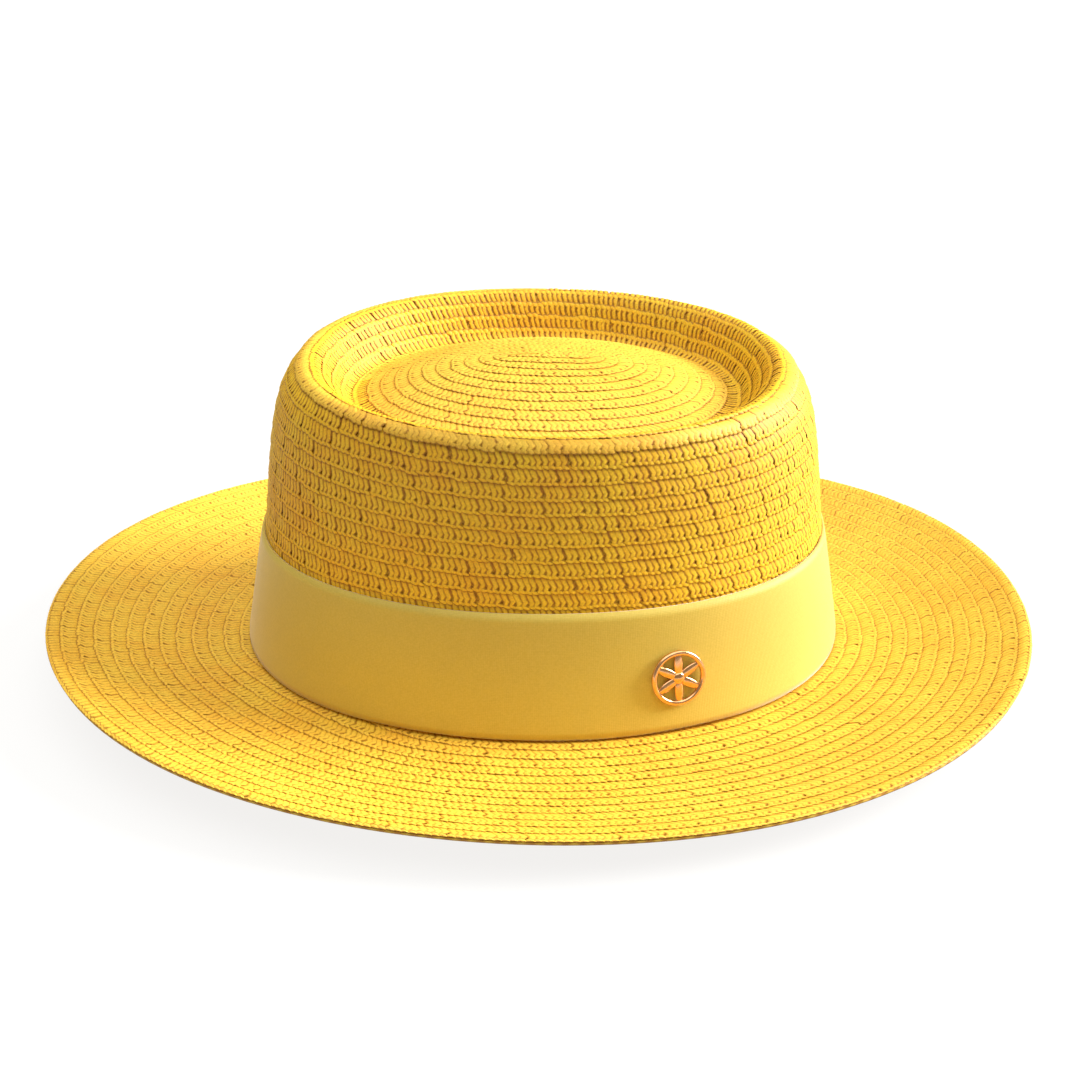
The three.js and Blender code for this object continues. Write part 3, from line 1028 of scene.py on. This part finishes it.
def straw_material(name, middle, bright):
    material, nodes, links, shader = new_material(name)
    rise, tint, side = (attribute(nodes, label) for label in ("rise", "tint", "side"))
    # Painted shade: the low points of the weave turn orange-brown, and the higher ones stay bright.
    height = ramp(nodes, links, rise, [(0.0, PAINTED_DEEP_SHADE), (0.35, middle), (0.75, bright), (1.0, bright)])
    strand_tint = ramp(nodes, links, tint, [(0.0, OCHRE), (0.45, BRIGHT), (1.0, PALE)])
    colour = mix_colour(nodes, links, "MIX", TINT_SHARE, height, strand_tint)
    dye = noise(nodes, links, DYE_SCALE, detail=2)
    colour = shaded(nodes, links, colour, dye, [(0.35, DYE_SHADE), (0.60, UNSHADED)])
    fibres = noise(nodes, links, FIBRE_SCALE, detail=3)
    colour = shaded(nodes, links, colour, fibres, [(0.3, FIBRE_SHADE), (0.7, UNSHADED)])
    # Painted shadow: the edges of every strand are darkened, where shade falls between strands.
    patchy = noise(nodes, links, EDGE_SCALE, detail=1)
    broken = calculate(nodes, links, "MULTIPLY_ADD", patchy, EDGE_CONTRAST, EDGE_BASE)
    painted_gap_shadow = calculate(nodes, links, "MULTIPLY", broken, side)
    colour = shaded(nodes, links, colour, painted_gap_shadow, [(0.19, UNSHADED), (0.44, PAINTED_EDGE_SHADOW)])
    links.new(colour, shader.inputs["Base Color"])
    shader.inputs["Roughness"].default_value = STRAW_ROUGHNESS
    shader.inputs["Specular IOR Level"].default_value = STRAW_GLOSS
    add_bump(nodes, links, shader, fibres, 0.5, FIBRE_BUMP)
    return material


straw = straw_material("straw_braid", MIDDLE, BRIGHT)
straw_pressed_highlight = straw_material("straw_pressed_highlight", PRESSED_HIGHLIGHT_MIDDLE, PRESSED_HIGHLIGHT_BRIGHT)
# The pressed tops get the paler copy with its painted highlight.
for piece in braids:
    piece.data.materials.append(straw_pressed_highlight if piece.name in PRESSED_HIGHLIGHT_PIECES else straw)
print("pieces of pressed straw:", len(PRESSED_HIGHLIGHT_PIECES), "of", len(braids))

# %% [markdown]
# The base walls need no stitches of their own. Slanting waves along their turn and row attributes
# give strands that follow the rows, in tones darker than the straw's own: a painted shade for straw that lies
# in shadow.

# %% Straw behind
# Straw colours with painted shade, for the straw seen in the gaps between strands.
BEHIND_SHADED_DARK = (0.62, 0.27, 0.012)
BEHIND_SHADED_MIDDLE = (0.82, 0.45, 0.02)
BEHIND_SHADED_LIGHT = (0.92, 0.58, 0.05)
STRANDS_ROUND = 150
BEHIND_BUMP = 0.3 * MM


def base_material():
    material, nodes, links, shader = new_material("straw_behind")
    join = nodes.new("ShaderNodeCombineXYZ")
    links.new(attribute(nodes, "turn"), join.inputs["X"])
    links.new(attribute(nodes, "row"), join.inputs["Y"])
    scale = nodes.new("ShaderNodeMapping")
    scale.inputs["Scale"].default_value = (STRANDS_ROUND, 1, 1)
    links.new(join.outputs["Vector"], scale.inputs["Vector"])
    wave = nodes.new("ShaderNodeTexWave")
    wave.bands_direction = "DIAGONAL"
    wave.inputs["Scale"].default_value = 1.0
    wave.inputs["Distortion"].default_value = 1.5
    links.new(scale.outputs["Vector"], wave.inputs["Vector"])
    strands = wave.outputs["Fac"]
    colour = ramp(nodes, links, strands, [(0.1, BEHIND_SHADED_DARK), (0.6, BEHIND_SHADED_MIDDLE), (1.0, BEHIND_SHADED_LIGHT)])
    links.new(colour, shader.inputs["Base Color"])
    shader.inputs["Roughness"].default_value = 0.6
    add_bump(nodes, links, shader, strands, 0.8, BEHIND_BUMP)
    return material


straw_behind = base_material()
for piece in (crown_base, brim_collar, brim_base):
    piece.data.materials.append(straw_behind)
print("strands round a base wall:", STRANDS_ROUND)

# %% [markdown]
# ## Ribbon cloth and metal
# The ribbon is a fine plain weave with a soft sheen.
# Two crossed wave patterns on the ribbon's own UV map give the weave, and fine noise on Object coordinates
# flecks its threads, so that it doesn't look printed.
# The badge is polished rose gold, with a very slight unevenness in its gloss.

# %% Ribbon cloth
THREAD_DARK = (0.60, 0.44, 0.06)
THREAD_LIGHT = (0.65, 0.48, 0.075)
WEAVE_SHADE = (0.94, 0.93, 0.90)
FLECK_SCALE = 1700
THREADS_ALONG = 0.55
THREADS_ACROSS = 0.6
WEAVE_BUMP = 0.08 * MM


def ribbon_material():
    material, nodes, links, shader = new_material("ribbon_cloth")
    coordinates = nodes.new("ShaderNodeTexCoord")
    scale = nodes.new("ShaderNodeMapping")
    scale.inputs["Scale"].default_value = (RIBBON_FLAT[1] / MM, RIBBON_FLAT[0] / MM, 1)
    links.new(coordinates.outputs["UV"], scale.inputs["Vector"])
    waves = []
    for direction, tightness in (("X", THREADS_ALONG), ("Y", THREADS_ACROSS)):
        wave = nodes.new("ShaderNodeTexWave")
        wave.bands_direction = direction
        wave.inputs["Scale"].default_value = tightness
        wave.inputs["Distortion"].default_value = 0.4
        wave.inputs["Detail Scale"].default_value = 2
        links.new(scale.outputs["Vector"], wave.inputs["Vector"])
        waves.append(wave.outputs["Fac"])
    weave = calculate(nodes, links, "ADD", *waves)
    fleck = noise(nodes, links, FLECK_SCALE, detail=3)
    threads = ramp(nodes, links, fleck, [(0.35, THREAD_DARK), (0.65, THREAD_LIGHT)])
    colour = shaded(nodes, links, threads, weave, [(0.0, WEAVE_SHADE), (1.0, UNSHADED)])
    links.new(colour, shader.inputs["Base Color"])
    shader.inputs["Roughness"].default_value = 0.55
    shader.inputs["Specular IOR Level"].default_value = 0.5
    shader.inputs["Sheen Weight"].default_value = 0.5
    shader.inputs["Sheen Roughness"].default_value = 0.4
    add_bump(nodes, links, shader, weave, 0.25, WEAVE_BUMP)
    return material


ribbon.data.materials.append(ribbon_material())
print("ribbon pattern:", RIBBON_FLAT[1], "by", RIBBON_FLAT[0], "m of cloth")

# %% Rose gold
ROSE_DARK = (0.78, 0.42, 0.20)
ROSE_LIGHT = (0.86, 0.50, 0.27)
CLOUD_SCALE = 600
SMOOTHEST = 0.14
ROUGHEST = 0.26


def gold_material():
    material, nodes, links, shader = new_material("rose_gold")
    shader.inputs["Metallic"].default_value = 1.0
    cloud = noise(nodes, links, CLOUD_SCALE, detail=2)
    tone = ramp(nodes, links, cloud, [(0.3, ROSE_DARK), (0.7, ROSE_LIGHT)])
    links.new(tone, shader.inputs["Base Color"])
    gloss = nodes.new("ShaderNodeMapRange")
    gloss.inputs["To Min"].default_value = SMOOTHEST
    gloss.inputs["To Max"].default_value = ROUGHEST
    links.new(cloud, gloss.inputs["Value"])
    links.new(gloss.outputs["Result"], shader.inputs["Roughness"])
    return material


badge.data.materials.append(gold_material())
print("badge roughness from", SMOOTHEST, "to", ROUGHEST)

# %% [markdown]
# ## Handing the pieces to the frame
# Every piece rides on the one body of the hat, because nothing on it moves.
# The base walls, the ribbon and the badge stand for their CAD solids, which stay in the simulation
# for contact.

# %% Frame calls
for piece in braids + [crown_base, brim_base, brim_collar, ribbon, badge]:
    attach(piece, "root")
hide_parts("crown")
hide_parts("brim")
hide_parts("ribbon_band")
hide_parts("badge")
